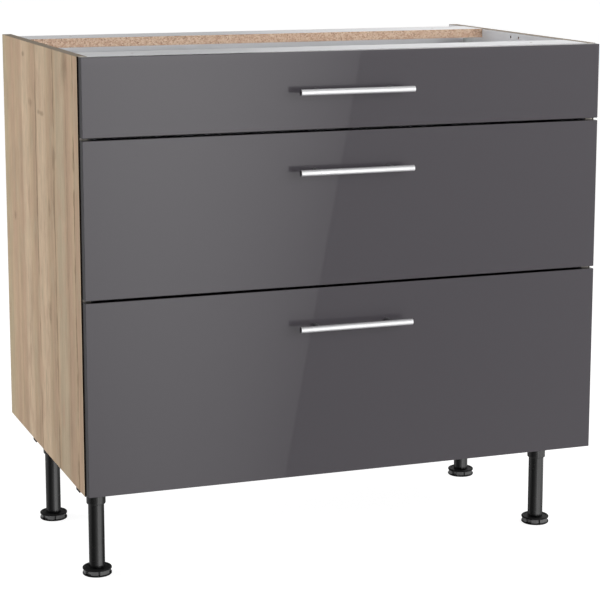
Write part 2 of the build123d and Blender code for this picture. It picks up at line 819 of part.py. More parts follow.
    with BuildPart() as box_screws:
        repeat(box_screw, box_screw_places)
        repeat(base_screw, base_screw_places)
    box_screws.part.label = f"{name}_box_screws"
    export_step(box_screws.part, f"parts/{name}_box_screws.step")

with BuildPart() as cabinet_rail_screws:
    repeat(runner_screw, all_cabinet_screws)
cabinet_rail_screws.part.label = "cabinet_rail_screws"
export_step(cabinet_rail_screws.part, "parts/cabinet_rail_screws.step")
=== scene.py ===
"""Looks of a kitchen base cabinet: oak decor sides, gloss fronts, metal handles, black legs.

Metres, +Z up, the user stands on the -Y side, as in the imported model.
"""

from math import degrees, radians

import bpy
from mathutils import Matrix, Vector


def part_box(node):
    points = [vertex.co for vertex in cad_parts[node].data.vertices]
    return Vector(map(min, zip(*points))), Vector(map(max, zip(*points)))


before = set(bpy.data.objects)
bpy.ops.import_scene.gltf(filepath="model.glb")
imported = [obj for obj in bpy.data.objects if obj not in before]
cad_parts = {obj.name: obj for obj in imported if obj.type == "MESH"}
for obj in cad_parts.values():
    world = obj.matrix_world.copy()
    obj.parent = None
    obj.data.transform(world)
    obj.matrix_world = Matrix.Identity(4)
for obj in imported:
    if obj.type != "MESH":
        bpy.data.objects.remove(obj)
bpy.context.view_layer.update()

DRAWERS = ("top", "middle", "bottom")
LEGS = ("front_left", "front_right", "rear_left", "rear_right")

# ---------------------------------------------------------------- places taken from the frame

side_low, side_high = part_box("left_side_panel")
half_width = -side_low.x
half_inside = -side_high.x
carcass_top = side_high.z
front_face, front_rear = (corner.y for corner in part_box("top_front"))
back_panel_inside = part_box("back_panel")[0].y
bar_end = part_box("top_handle_bar")[1].x

SKIN = 0.0004  # how far inside a face a point may lie and still count as on it
FRONT_LIP = 0.0012  # depth behind a drawer front's face at which its bores begin
GAP_SHADOW_WIDTH = 0.0026  # width of the painted shadow along the outer edge of the sides' front bands, where the gap behind the fronts lies in shade
PAD_LOW, PAD_HIGH = 0.0030, 0.0095  # heights on a foot between which its pads stand

ACROSS, DEEP, UP = range(3)
SQUARE_ON = 0.9  # a face looks along an axis where that part of its direction is larger
MOSTLY_ON = 0.5  # the same for faces with rounded edges


# ---------------------------------------------------------------- shader maths

# Sockets of a Mix node for colours, by number, because their names repeat.
MIX_SHARE, MIX_FIRST, MIX_SECOND, MIX_RESULT = 0, 6, 7, 2


class Wire:
    """An output socket of a finish. Arithmetic on wires adds Math nodes."""

    def __init__(self, finish, socket):
        self.finish = finish
        self.socket = socket

    def maths(self, operation, first, second=0.0):
        return self.finish.node("Math", {"operation": operation}, {0: first, 1: second})

    def __add__(self, other):
        return self.maths("ADD", self, other)

    def __radd__(self, other):
        return self.maths("ADD", other, self)

    def __sub__(self, other):
        return self.maths("SUBTRACT", self, other)

    def __rsub__(self, other):
        return self.maths("SUBTRACT", other, self)

    def __mul__(self, other):
        return self.maths("MULTIPLY", self, other)

    def __rmul__(self, other):
        return self.maths("MULTIPLY", other, self)

    def __pow__(self, other):
        return self.maths("POWER", self, other)

    def __gt__(self, other):
        return self.maths("GREATER_THAN", self, other)

    def __lt__(self, other):
        return self.maths("LESS_THAN", self, other)

    def __or__(self, other):
        """The larger of two values, so either of two masks."""
        return self.maths("MAXIMUM", self, other)

    def __abs__(self):
        return self.maths("ABSOLUTE", self)

    def sine(self):
        return self.maths("SINE", self)

    def turn_from(self, other):
        """Angle in degrees of the direction with this value across and the other one ahead."""
        return self.maths("ARCTAN2", self, other) * degrees(1.0)


class Finish:
    """A material: one surface shader and the nodes that vary it."""

    def __init__(self, name, holder=None):
        self.material = holder or bpy.data.materials.new(name)
        self.material.use_nodes = True
        self.tree = self.material.node_tree
        self.tree.nodes.clear()

    def node(self, kind, settings=None, sockets=None, out=0):
        """Adds a node: its settings first, then the values or links of its sockets."""
        made = self.tree.nodes.new("ShaderNode" + kind)
        for name, value in (settings or {}).items():
            if name == "stops":
                self.set_stops(made.color_ramp, value)
            else:
                setattr(made, name, value)
        for name, value in (sockets or {}).items():
            if isinstance(value, Wire):
                self.tree.links.new(value.socket, made.inputs[name])
            else:
                made.inputs[name].default_value = value
        return Wire(self, made.outputs[out]) if made.outputs else made

    @staticmethod
    def set_stops(ramp, stops):
        while len(ramp.elements) < len(stops):
            ramp.elements.new(0.5)
        for element, (position, colour) in zip(ramp.elements, stops):
            element.position = position
            element.color = (*colour, 1.0)

    @staticmethod
    def opaque(colour):
        """A colour as a socket takes it."""
        return colour if isinstance(colour, Wire) else (*colour, 1.0)

    def mix(self, share, first, second):
        """Colour between two colours."""
        sockets = {MIX_SHARE: share, MIX_FIRST: self.opaque(first), MIX_SECOND: self.opaque(second)}
        return self.node("Mix", {"data_type": "RGBA"}, sockets, out=MIX_RESULT)

    def tint(self, colour, amount):
        """Colour multiplied by a grey amount."""
        grey = self.node("CombineColor", sockets={0: amount, 1: amount, 2: amount})
        settings = {"data_type": "RGBA", "blend_type": "MULTIPLY"}
        sockets = {MIX_SHARE: 1.0, MIX_FIRST: self.opaque(colour), MIX_SECOND: grey}
        return self.node("Mix", settings, sockets, out=MIX_RESULT)

    def place(self):
        """The point on the object at rest, in metres."""
        return self.node("TexCoord", out="Object")

    def axes(self, vector):
        return [self.node("SeparateXYZ", sockets={0: vector}, out=axis) for axis in range(3)]

    def facing(self):
        """Sizes of the three parts of the surface's direction."""
        return [abs(part) for part in self.axes(self.node("TexCoord", out="Normal"))]

    def noise(self, vector, scale, detail, roughness=0.5, distortion=0.0):
        sockets = {
            "Vector": vector,
            "Scale": scale,
            "Detail": detail,
            "Roughness": roughness,
            "Distortion": distortion,
        }
        return self.node("TexNoise", sockets=sockets)

    def grain(self, place, cells, detail=3.0, roughness=0.5, distortion=0.0, scale=1.0):
        """Noise drawn out along the axes that have fewer cells a metre than the others."""
        stretched = self.node("VectorMath", {"operation": "MULTIPLY"}, {0: place, 1: cells})
        return self.noise(stretched, scale, detail, roughness, distortion)

    def ramp(self, factor, low, high, start=0.0, stop=1.0):
        """Smooth step of a factor from low to high, to values from start to stop."""
        settings = {"interpolation_type": "SMOOTHSTEP", "clamp": True}
        return self.node("MapRange", settings, {0: factor, 1: low, 2: high, 3: start, 4: stop})

    def bump(self, height, depth, strength):
        return self.node("Bump", sockets={"Strength": strength, "Distance": depth, "Height": height})

    def surface(self, **sockets):
        """The surface shader, from its sockets' names with _ for a space."""
        named = {key.replace("_", " "): value for key, value in sockets.items()}
        named["Base Color"] = self.opaque(named["Base Color"])
        shader = self.node("BsdfPrincipled", sockets=named)
        self.node("OutputMaterial", sockets={"Surface": shader})
        return self.material


# ---------------------------------------------------------------- colours

CREAM = (0.580, 0.440, 0.305)
TAN = (0.500, 0.370, 0.245)
ROSE = (0.480, 0.335, 0.230)
UMBER = (0.430, 0.305, 0.205)
SAGE = (0.480, 0.380, 0.262)
OLIVE = (0.500, 0.400, 0.265)
OAK_LINE = (0.190, 0.120, 0.070)
OAK_ARRIS = (0.245, 0.195, 0.138)
# Painted shadow of the gap between the drawer fronts and the sides' front edges.
PAINTED_GAP_SHADOW = (0.0228, 0.0144, 0.0084)
BAND_DULL = (0.500, 0.460, 0.410)
BAND_PALE = (0.620, 0.580, 0.530)
MELAMINE = (0.800, 0.802, 0.820)
CHIP_LIGHT = (0.620, 0.480, 0.365)
CHIP_PALE = (0.520, 0.375, 0.275)
CHIP_MID = (0.410, 0.260, 0.182)
CHIP_DARK = (0.185, 0.095, 0.060)
HARDBOARD_DARK = (0.270, 0.165, 0.098)
HARDBOARD_LIGHT = (0.315, 0.200, 0.122)
BEECH_PALE = (0.620, 0.420, 0.260)
BEECH_FLECK = (0.420, 0.260, 0.150)
ANTHRACITE = (0.0695, 0.0620, 0.0730)
EDGE_FOIL = (0.0620, 0.0600, 0.0640)
# Painted shade: the fronts' top and bottom edges, which lie in the gaps between the fronts.
EDGE_PAINTED_SHADE = (0.0060, 0.0060, 0.0064)
LEG_BLACK = (0.0028, 0.0029, 0.0030)
LEG_WORN = (0.0300, 0.0300, 0.0310)
FOOT_BLACK = (0.0060, 0.0060, 0.0062)
FOOT_SCUFFED = (0.0180, 0.0180, 0.0185)
# Painted highlight: lighter greys for the feet's pads, where they catch the light.
PAD_PAINTED_LIT_GREY = (0.185, 0.185, 0.186)
PAD_PAINTED_LIT_LIGHT = (0.235, 0.235, 0.236)
BAR_DULL = (0.880, 0.880, 0.890)
BAR_BRIGHT = (0.970, 0.970, 0.980)
# Painted shade: a darker copy of the bar's metal for its end faces.
BAR_END_PAINTED_SHADE = (0.300, 0.300, 0.310)
POST_DULL = (0.360, 0.360, 0.370)
POST_BRIGHT = (0.460, 0.460, 0.470)
SHEET_DULL = (0.560, 0.580, 0.610)
SHEET_BRIGHT = (0.680, 0.690, 0.700)
SCREW_DULL = (0.580, 0.580, 0.550)
SCREW_BRIGHT = (0.740, 0.730, 0.700)
CAST_DULL = (0.420, 0.420, 0.430)
CAST_BRIGHT = (0.580, 0.580, 0.580)

# ---------------------------------------------------------------- boards

SWAY, QUIVER = 0.022, 0.010  # metres by which the grain of the oak wanders, slowly and quickly
KNOT_FADE = 0.6  # how fast a knot fades: at its half width it is two thirds as dark as in its middle
CHIPS = 420.0  # wood chips a metre on a sawn edge
SCREEN_MARKS = 2600.0  # radians a metre of the screen marks on the hardboard's bare side

# Staves of the decor from the front edge to the rear: where each one is plain, in metres, and its tone.
STAVES = (
    (-0.256, CREAM),
    (-0.246, UMBER),
    (-0.234, ROSE),
    (-0.218, TAN),
    (-0.195, ROSE),
    (-0.172, UMBER),
    (-0.150, SAGE),
    (-0.110, SAGE),
    (-0.094, TAN),
    (-0.070, UMBER),
    (-0.040, TAN),
    (-0.018, CREAM),
    (0.024, CREAM),
    (0.054, UMBER),
    (0.088, TAN),
    (0.112, CREAM),
    (0.146, CREAM),
    (0.160, ROSE),
    (0.205, TAN),
    (0.222, ROSE),
    (0.262, TAN),
    (0.284, OLIVE),
    (0.306, OLIVE),
)

# Dark lines where two staves meet: place from front to rear, half width and strength.
STAVE_LINES = (
    (0.043, 0.0022, 0.75),
    (-0.088, 0.0026, 0.70),
    (-0.222, 0.0018, 0.95),
    (-0.176, 0.0012, 0.35),
)

# Knots: place from front to rear, height, half width and half height.
KNOTS = (
    (0.083, 0.768, 0.010, 0.006),
    (0.132, 0.847, 0.008, 0.003),
    (0.006, 0.757, 0.015, 0.003),
    (-0.048, 0.600, 0.007, 0.012),
    (-0.086, 0.690, 0.009, 0.014),
    (-0.036, 0.430, 0.009, 0.016),
    (-0.221, 0.697, 0.005, 0.008),
    (-0.228, 0.360, 0.005, 0.013),
    (-0.166, 0.845, 0.014, 0.018),
    (0.042, 0.745, 0.004, 0.030),
    (0.230, 0.550, 0.006, 0.006),
)


def stave_colour(finish, across):
    """Plain tones of the staves, which run into each other."""
    front, rear = STAVES[0][0], STAVES[-1][0]
    depth = rear - front
    stops = [((at - front) / depth, tone) for at, tone in STAVES]
    return finish.node("ValToRGB", {"stops": stops}, {0: (across - front) * (1.0 / depth)})


def oak_decor(finish, place):
    """Colour and relief of the oak decor, its grain upright."""
    depth, height = finish.axes(place)[DEEP:]
    sway = finish.grain(place, (0.0, 2.0, 1.0), scale=2.4)
    quiver = finish.grain(place, (0.0, 10.0, 1.0), scale=14.0)
    across = depth + (sway - 0.5) * SWAY + (quiver - 0.5) * QUIVER
    band = finish.grain(place, (1.0, 48.0, 2.0), detail=4.0, roughness=0.6, distortion=0.25)
    streak = finish.grain(place, (1.0, 115.0, 5.0), detail=5.0, roughness=0.62, distortion=0.35)
    fibre = finish.grain(place, (1.0, 620.0, 40.0), detail=3.0, roughness=0.6)
    pore = finish.grain(place, (1.0, 1300.0, 60.0), detail=1.0)
    cloud = finish.grain(place, (1.0, 26.0, 11.0), detail=4.0, roughness=0.6)
    fleck = finish.grain(place, (1.0, 70.0, 34.0), detail=3.0, roughness=0.6)
    warm = finish.grain(place, (1.0, 34.0, 14.0), detail=3.0, roughness=0.6)
    colour = stave_colour(finish, across)
    colour = finish.mix(finish.ramp(warm, 0.50, 0.68) * 0.70, colour, ROSE)
    colour = finish.mix(finish.ramp(warm, 0.48, 0.32) * 0.60, colour, SAGE)
    lines = finish.ramp(streak, 0.58, 0.76) * 0.34
    ragged = across + (cloud + fleck - 1.0) * QUIVER
    for at, half, strength in STAVE_LINES:
        breaks = finish.ramp(finish.grain(place, (1.0, 3.0, 9.0), scale=1.0 + abs(at)), 0.38, 0.56)
        near = finish.ramp(abs(ragged - at), half * 2.6, half * 0.2)
        lines = lines | near * (breaks * 0.80 + 0.08) * strength
    for at, level, half_wide, half_high in KNOTS:
        off = ((across - at) * (KNOT_FADE / half_wide)) ** 2.0
        off = off + ((height - level) * (KNOT_FADE / half_high)) ** 2.0
        lines = lines | finish.ramp(off + (fleck - 0.5) * 2.8, 1.3, -0.5) * 0.55
    colour = finish.mix(lines, colour, OAK_LINE)
    pits = finish.ramp(pore, 0.62, 0.72)
    light = 0.31 + band * 0.38 + streak * 0.30 + cloud * 0.42 + fibre * 0.18 + fleck * 0.16
    light = light - pits * 0.08
    relief = (fibre - pits) * 0.5 - lines * 0.4
    return finish.tint(colour, light), relief


def raw_chipboard(finish, place):
    """Colour and relief of a sawn chipboard edge."""
    sockets = {"Vector": place, "Scale": CHIPS, "Randomness": 1.0}
    chip, second, _ = finish.axes(finish.node("TexVoronoi", {"feature": "F1"}, sockets, out="Color"))
    warped = finish.noise(place, scale=260.0, detail=2.0)
    small = finish.noise(place, scale=900.0, detail=3.0, roughness=0.7)
    stops = [(0.0, CHIP_DARK), (0.20, CHIP_MID), (0.6, CHIP_PALE), (1.0, CHIP_LIGHT)]
    colour = finish.node("ValToRGB", {"stops": stops}, {0: chip * 0.75 + warped * 0.35})
    gaps = finish.ramp(small, 0.56, 0.70) * second * 0.8 | finish.ramp(second, 0.86, 0.92) * 0.6
    return finish.mix(gaps, colour, CHIP_DARK), chip * 0.6 + small * 0.8


def white_melamine(finish, place):
    """Colour of a white face, and the faint mottle in it."""
    mottle = finish.noise(place, scale=6.0, detail=2.0)
    return finish.tint(MELAMINE, 0.985 + mottle * 0.03), mottle


def faced_board(name, *white_axes):
    """White melamine on the faces that look along the axes given, raw chipboard elsewhere."""
    finish = Finish(name)
    place = finish.place()
    facing = finish.facing()
    white = facing[white_axes[0]] > SQUARE_ON
    for axis in white_axes[1:]:
        white = white | (facing[axis] > SQUARE_ON)
    chip, chip_relief = raw_chipboard(finish, place)
    clean, mottle = white_melamine(finish, place)
    pearl = finish.noise(place, scale=900.0, detail=2.0, roughness=0.6)
    relief = white * pearl * 0.15 + (1.0 - white) * chip_relief
    return finish.surface(
        Base_Color=finish.mix(white, chip, clean),
        Roughness=0.85 - white * (0.56 - mottle * 0.06),
        Specular_IOR_Level=0.45,
        Normal=finish.bump(relief, depth=0.0004, strength=0.6),
    )


def side_board(name, outward):
    """Oak outside, white inside, brown band on the top edge, raw chipboard below and behind."""
    finish = Finish(name)
    place = finish.place()
    x, _, z = finish.axes(place)
    outside = x * outward > half_width - SKIN
    inside = x * outward < half_inside + SKIN
    top = z > carcass_top - SKIN
    oak, oak_relief = oak_decor(finish, place)
    chip, chip_relief = raw_chipboard(finish, place)
    clean, _ = white_melamine(finish, place)
    band = finish.grain(place, (300.0, 10.0, 1.0))
    colour = finish.mix(inside, chip, clean)
    colour = finish.mix(outside, colour, oak)
    colour = finish.mix(top, colour, finish.tint(OAK_ARRIS, 0.85 + band * 0.3))
    faced = outside | inside | top
    relief = outside * oak_relief * 0.5 + (1.0 - faced) * chip_relief
    return finish.surface(
        Base_Color=colour,
        Roughness=0.85 - faced * 0.36,
        Specular_IOR_Level=0.25,
        Normal=finish.bump(relief, depth=0.0003, strength=0.6),
    )


def edge_band():
    """Pale strip on the sides' front edges, with painted shadow along its outer edge; white strip on
    the other boards.
    """
    finish = Finish("edge_band")
    place = finish.place()
    x = finish.axes(place)[ACROSS]
    on_side = abs(x) > half_inside - SKIN
    gap_shadow = abs(x) > half_width - GAP_SHADOW_WIDTH
    grain = finish.grain(place, (420.0, 1.0, 6.0), detail=4.0, roughness=0.6)
    strip = finish.mix(finish.ramp(grain, 0.3, 0.7), BAND_DULL, BAND_PALE)
    # Painted shadow: the band's outer edge, in the gap behind the fronts, is darkened.
    strip = finish.mix(gap_shadow, strip, PAINTED_GAP_SHADOW)
    return finish.surface(
        Base_Color=finish.mix(on_side, MELAMINE, strip),
        Roughness=0.38 + grain * 0.08 + gap_shadow * 0.4,
        Specular_IOR_Level=0.15,
        Normal=finish.bump(grain, depth=0.0001, strength=0.3),
    )


def hardboard():
    """White lacquer inside, bare brown fibre with its screen marks behind."""
    finish = Finish("hardboard")
    place = finish.place()
    x, y, z = finish.axes(place)
    inside = y < back_panel_inside + SKIN
    fibre = finish.grain(place, (400.0, 400.0, 400.0), detail=4.0, roughness=0.7)
    blotch = finish.grain(place, (9.0, 9.0, 4.0), detail=5.0, roughness=0.65)
    screen = (x * SCREEN_MARKS).sine() | (z * SCREEN_MARKS).sine()
    brown = finish.mix(finish.ramp(blotch, 0.3, 0.7), HARDBOARD_DARK, HARDBOARD_LIGHT)
    brown = finish.tint(brown, 0.75 + fibre * 0.5)
    return finish.surface(
        Base_Color=finish.mix(inside, brown, MELAMINE),
        Roughness=0.72 - inside * 0.34,
        Normal=finish.bump((1.0 - inside) * (screen * 0.2 + fibre), depth=0.0003, strength=0.5),
    )


def beech():
    """Turned beech with short darker flecks."""
    finish = Finish("beech")
    fleck = finish.grain(finish.place(), (60.0, 900.0, 900.0), detail=3.0, roughness=0.6)
    return finish.surface(
        Base_Color=finish.mix(finish.ramp(fleck, 0.4, 0.7), BEECH_PALE, BEECH_FLECK),
        Roughness=0.62 + fleck * 0.1,
        Normal=finish.bump(fleck, depth=0.0001, strength=0.4),
    )


# ---------------------------------------------------------------- fronts, metal and plastic


def gloss_anthracite():
    """Satin colour under a sharp clear coat with a faint orange peel; dull back; painted shade on the
    long top and bottom edges.
    """
    finish = Finish("gloss_anthracite")
    place = finish.place()
    y = finish.axes(place)[DEEP]
    facing = finish.facing()
    back = y > front_rear - SKIN
    edges = 1.0 - (facing[DEEP] > MOSTLY_ON)
    in_bore = (y < front_rear - SKIN) * (y > front_face + FRONT_LIP) * (1.0 - edges)
    flake = finish.noise(place, scale=2500.0, detail=2.0, roughness=0.7)
    cloud = finish.noise(place, scale=3.0, detail=2.0)
    peel = finish.noise(place, scale=55.0, detail=1.0, roughness=0.4)
    chip, _ = raw_chipboard(finish, place)
    colour = finish.tint(ANTHRACITE, 0.985 + flake * 0.02 + cloud * 0.01)
    # Painted shade: near black on the edges that face up or down, the foil's own colour on the side
    # edges.
    colour = finish.mix(edges, colour, finish.mix(facing[UP] > MOSTLY_ON, EDGE_FOIL, EDGE_PAINTED_SHADE))
    return finish.surface(
        Base_Color=finish.mix(in_bore, colour, chip),
        Roughness=0.34 + flake * 0.04,
        Specular_IOR_Level=0.30,
        Coat_Weight=0.60 - back * 0.45,
        Coat_Roughness=0.008,
        Normal=finish.bump(peel, depth=0.00003, strength=0.20),
    )


def brushed_metal(name, dull, bright, roughness, metal):
    """Satin metal, brushed along the bar, with fine scratches; painted shade: darker metal on the end
    faces.
    """
    finish = Finish(name)
    place = finish.place()
    brushing = finish.grain(place, (12.0, 900.0, 900.0), detail=3.0, roughness=0.7)
    scratch = finish.grain(place, (25.0, 2500.0, 2500.0), detail=2.0, roughness=0.6)
    shine = finish.ramp(brushing, 0.3, 0.7)
    # Painted shade: the end faces get a darker metal colour, and are also smoother and fully metallic.
    painted_dark_end = abs(finish.axes(place)[ACROSS]) > bar_end - SKIN
    return finish.surface(
        Base_Color=finish.mix(painted_dark_end, finish.mix(shine, dull, bright), BAR_END_PAINTED_SHADE),
        Metallic=painted_dark_end | metal + shine * (0.95 - metal) * 0.5,
        Roughness=roughness + scratch * 0.12 - painted_dark_end * 0.15,
        Normal=finish.bump(brushing + scratch * 0.5, depth=0.00003, strength=0.2),
    )


def black_plastic():
    """Moulded plastic with a fine satin grain and faint upright flow marks."""
    finish = Finish("black_plastic")
    place = finish.place()
    grain = finish.noise(place, scale=1800.0, detail=2.0, roughness=0.6)
    flow = finish.grain(place, (120.0, 120.0, 9.0), detail=2.0)
    worn = finish.ramp(finish.noise(place, scale=70.0, detail=4.0, roughness=0.65), 0.58, 0.80)
    return finish.surface(
        Base_Color=finish.mix(worn * 0.25 + grain * 0.1, LEG_BLACK, LEG_WORN),
        Roughness=0.20 + grain * 0.05 + flow * 0.04 + worn * 0.08,
        Specular_IOR_Level=0.9,
        Normal=finish.bump(grain + flow * 0.4, depth=0.00006, strength=0.35),
    )


def foot_plastic():
    """Matt moulded plastic with random scuffs; painted highlight: a lighter grey on the pads' upright
    faces.
    """
    finish = Finish("foot_plastic")
    place = finish.place()
    height = finish.axes(place)[UP]
    upright = 1.0 - (finish.facing()[UP] > MOSTLY_ON)
    # Painted highlight: the pads' upright faces get a lighter grey than the rest of the foot.
    painted_lit_pad = (height > PAD_LOW) * (height < PAD_HIGH) * upright
    grain = finish.noise(place, scale=1500.0, detail=3.0, roughness=0.65)
    scuff = finish.ramp(finish.noise(place, scale=160.0, detail=4.0, roughness=0.7), 0.45, 0.75)
    black = finish.mix(scuff, FOOT_BLACK, FOOT_SCUFFED)
    painted_pad_light = finish.mix(scuff, PAD_PAINTED_LIT_GREY, PAD_PAINTED_LIT_LIGHT)
    return finish.surface(
        Base_Color=finish.mix(painted_lit_pad, black, painted_pad_light),
        Roughness=0.52 + grain * 0.12,
        Specular_IOR_Level=0.25,
        Normal=finish.bump(grain + scuff * 0.5, depth=0.0001, strength=0.5),
    )


def galvanised_steel():
    """Rolled zinc-plated sheet: long rolling lines and faint clouds."""
    finish = Finish("galvanised_steel")
    place = finish.place()
    rolled = finish.grain(place, (1500.0, 8.0, 1500.0), detail=3.0, roughness=0.6)
    cloud = finish.noise(place, scale=40.0, detail=3.0, roughness=0.6)
    return finish.surface(
        Base_Color=finish.mix(finish.ramp(cloud, 0.35, 0.65), SHEET_DULL, SHEET_BRIGHT),
        Metallic=1.0,
        Roughness=0.28 + rolled * 0.12 + cloud * 0.08,
        Normal=finish.bump(rolled, depth=0.00006, strength=0.3),
    )


def small_metal(name, dull, bright, roughness, grain_scale):
    """Small plated or cast metal pieces."""
    finish = Finish(name)
    place = finish.place()
    grain = finish.noise(place, scale=grain_scale, detail=3.0, roughness=0.6)
    cloud = finish.noise(place, scale=220.0, detail=2.0)
    return finish.surface(
        Base_Color=finish.mix(cloud, dull, bright),
        Metallic=1.0,
        Roughness=roughness + grain * 0.12,
        Normal=finish.bump(grain, depth=0.0001, strength=0.35),
    )


# ---------------------------------------------------------------- what each piece wears

finishes = {
    "left_side": side_board("oak_board_left", -1.0),
    "right_side": side_board("oak_board_right", 1.0),
    "flat_board": faced_board("white_board_flat", UP),
    "drawer_side": faced_board("white_board_upright", ACROSS, UP),
    "drawer_back": faced_board("white_board_back", DEEP, UP),
    "drawer_base": faced_board("white_base_board", UP),
    "hardboard": hardboard(),
    "edge_band": edge_band(),
    "front": gloss_anthracite(),
    "handle": brushed_metal("brushed_metal", BAR_DULL, BAR_BRIGHT, roughness=0.36, metal=0.70),
    "post": brushed_metal("brushed_metal_posts", POST_DULL, POST_BRIGHT, roughness=0.30, metal=0.95),
    "plastic": black_plastic(),
    "foot": foot_plastic(),
    "runner": galvanised_steel(),
    "screw": small_metal("zinc_screw", SCREW_DULL, SCREW_BRIGHT, roughness=0.24, grain_scale=1500.0),
    "cast": small_metal("die_cast_zinc", CAST_DULL, CAST_BRIGHT, roughness=0.38, grain_scale=1100.0),
    "beech": beech(),
}

worn_by = {
    "left_side_panel": "left_side",
    "right_side_panel": "right_side",
    "bottom_panel": "flat_board",
    "front_top_rail": "flat_board",
    "rear_top_rail": "flat_board",
    "back_panel": "hardboard",
    "carcass_edge_bands": "edge_band",
    "carcass_dowels": "beech",
    "carcass_connectors": "cast",
    "back_panel_screws": "screw",
    "leg_plates": "plastic",
    "leg_plate_screws": "screw",
    "leg_tubes": "plastic",
    "cabinet_rail_screws": "screw",
}
worn_by.update({f"{leg}_foot": "foot" for leg in LEGS})
drawer_pieces = {
    "front": "front",
    "handle_bar": "handle",
    "handle_posts": "post",
    "handle_screws": "screw",
    "drawer_side_left": "drawer_side",
    "drawer_side_right": "drawer_side",
    "drawer_back": "drawer_back",
    "drawer_base": "drawer_base",
    "box_screws": "screw",
    "front_connectors": "cast",
    "cabinet_rails": "runner",
    "middle_rails": "runner",
    "drawer_rails": "runner",
    "drawer_rail_screws": "screw",
}
for drawer in DRAWERS:
    for piece, worn in drawer_pieces.items():
        worn_by[f"{drawer}_{piece}"] = worn

for name, cad_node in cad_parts.items():
    cad_node.data.materials.clear()
    cad_node.data.materials.append(finishes[worn_by[name]])

# ---------------------------------------------------------------- floor, studio, lamps and camera

FLOOR_REACH = 30.0
FLOOR_WHITE = 0.35
FLOOR_LIFT = 0.90  # light that only the camera sees on the floor, on top of the lamps' own
WHITE = (1.0, 1.0, 1.0, 1.0)

# How bright the world is near the horizon and high up, and the heights between which it fades.
WORLD_GREY, WORLD_ABOVE = 0.50, 0.25
FADE_LOW, FADE_HIGH = 0.25, 0.75

STUDIO_RADIUS = 4.0
STUDIO_LOW, STUDIO_HIGH = -3.0, 3.0
STUDIO_CORNERS = 96
STUDIO_ENDS = 0.45  # how light its ceiling and its ground are
BRIGHTEST, DIMMEST_CARD = 3.5, 0.05  # the lightest that a wall can be, and the darkest for a card

# The studio walls that gloss and metal reflect: degrees from straight in front towards the right
# of the cabinet, and how light the wall is there. White is 1. The first list holds above LOW_LEVEL,
# which is just below all that the drawer fronts mirror in the photograph's view, the second below it.
HIGH_TONES = (
    (-180.0, 0.05),
    (-158.0, 0.05),
    (-150.0, 0.50),
    (-92.0, 0.55),
    (-78.0, 0.10),
    (-18.0, 0.10),
    (-8.0, 1.50),
    (40.0, 1.50),
    (105.0, 0.90),
    (145.2, 0.95),
    (150.5, 1.07),
    (154.3, 0.95),
    (158.6, 0.72),
    (161.8, 0.52),
    (163.4, 0.10),
    (165.7, 0.13),
    (168.9, 0.27),
    (172.0, 0.40),
    (176.0, 0.40),
    (180.0, 0.05),
)
LOW_TONES = (
    (-180.0, 0.05),
    (-155.0, 0.10),
    (-145.0, 0.36),
    (-128.0, 0.36),
    (-116.0, 0.10),
    (-100.0, 0.00),
    (-84.0, 0.02),
    (-70.0, 0.07),
    (-56.0, 0.09),
    (-42.0, 0.22),
    (-28.0, 0.40),
    (-14.0, 0.72),
    (0.0, 1.40),
    (16.0, 2.00),
    (32.0, 1.85),
    (47.0, 1.35),
    (62.0, 0.55),
    (80.0, 0.02),
    (150.0, 0.05),
    (180.0, 0.05),
)
LOW_LEVEL, LEVEL_BLEND = -1.05, 0.05

# The two cards in front of the drawers, whose leaning edge shows in the gloss.
CARDS_FROM, CARDS_TO = -14.0, 34.0  # degrees
CARDS_LIT = -4.0  # degrees at which the left card has its full tone
CARD_TOP = 0.75
CARD_EDGE = 19.19  # degrees, at floor level
CARD_LEAN = 2.5  # degrees for each metre up
EDGE_BLUR = 0.06  # degrees
LEFT_CARD = (1.01, 0.329, -0.017, 0.90)  # level, per degree, per square degree, per metre up
RIGHT_CARD = (0.09, 0.02, 0.0, 0.02)

# Lamps: name, place, point aimed at, width, height, watts and spread in degrees. The last three are
# narrow beams that only skim the open top, onto the inside of the back panel and of the right side.
LAMPS = (
    ("overhead", (1.5, 0.2, 2.7), (0.1, 0.0, 0.6), 2.0, 2.0, 30.0, 180.0),
    ("front", (1.4, -3.4, 1.2), (0.0, 0.0, 0.5), 2.4, 2.4, 52.0, 180.0),
    ("left", (-3.4, 0.9, 0.8), (-0.4, 0.0, 0.4), 2.0, 2.0, 72.0, 180.0),
    ("skim_near", (0.0, -0.75, 0.9204), (0.0, 0.2405, 0.858), 1.3, 0.02, 0.045, 5.4),
    ("skim_far", (0.14, -0.745, 0.9202), (0.0, 0.2405, 0.858), 1.3, 0.02, 0.045, 5.4),
    ("skim_side", (-0.10, -0.75, 0.912), (0.434, 0.19, 0.846), 0.04, 0.004, 0.0011, 1.6),
)

# The photograph's view: the camera's place, its turn to the right and tilt down in degrees, and
# its framing on a sensor in millimetres.
CAMERA_PLACE = (-1.16135, -3.19486, 1.09990)
CAMERA_TURN, CAMERA_TILT = 19.978, 9.944
SENSOR_WIDTH, FOCAL_LENGTH = 36.0, 116.883
SHIFT_ACROSS, SHIFT_UP = 0.0095, -0.0890
VIEW_REACH = 100.0


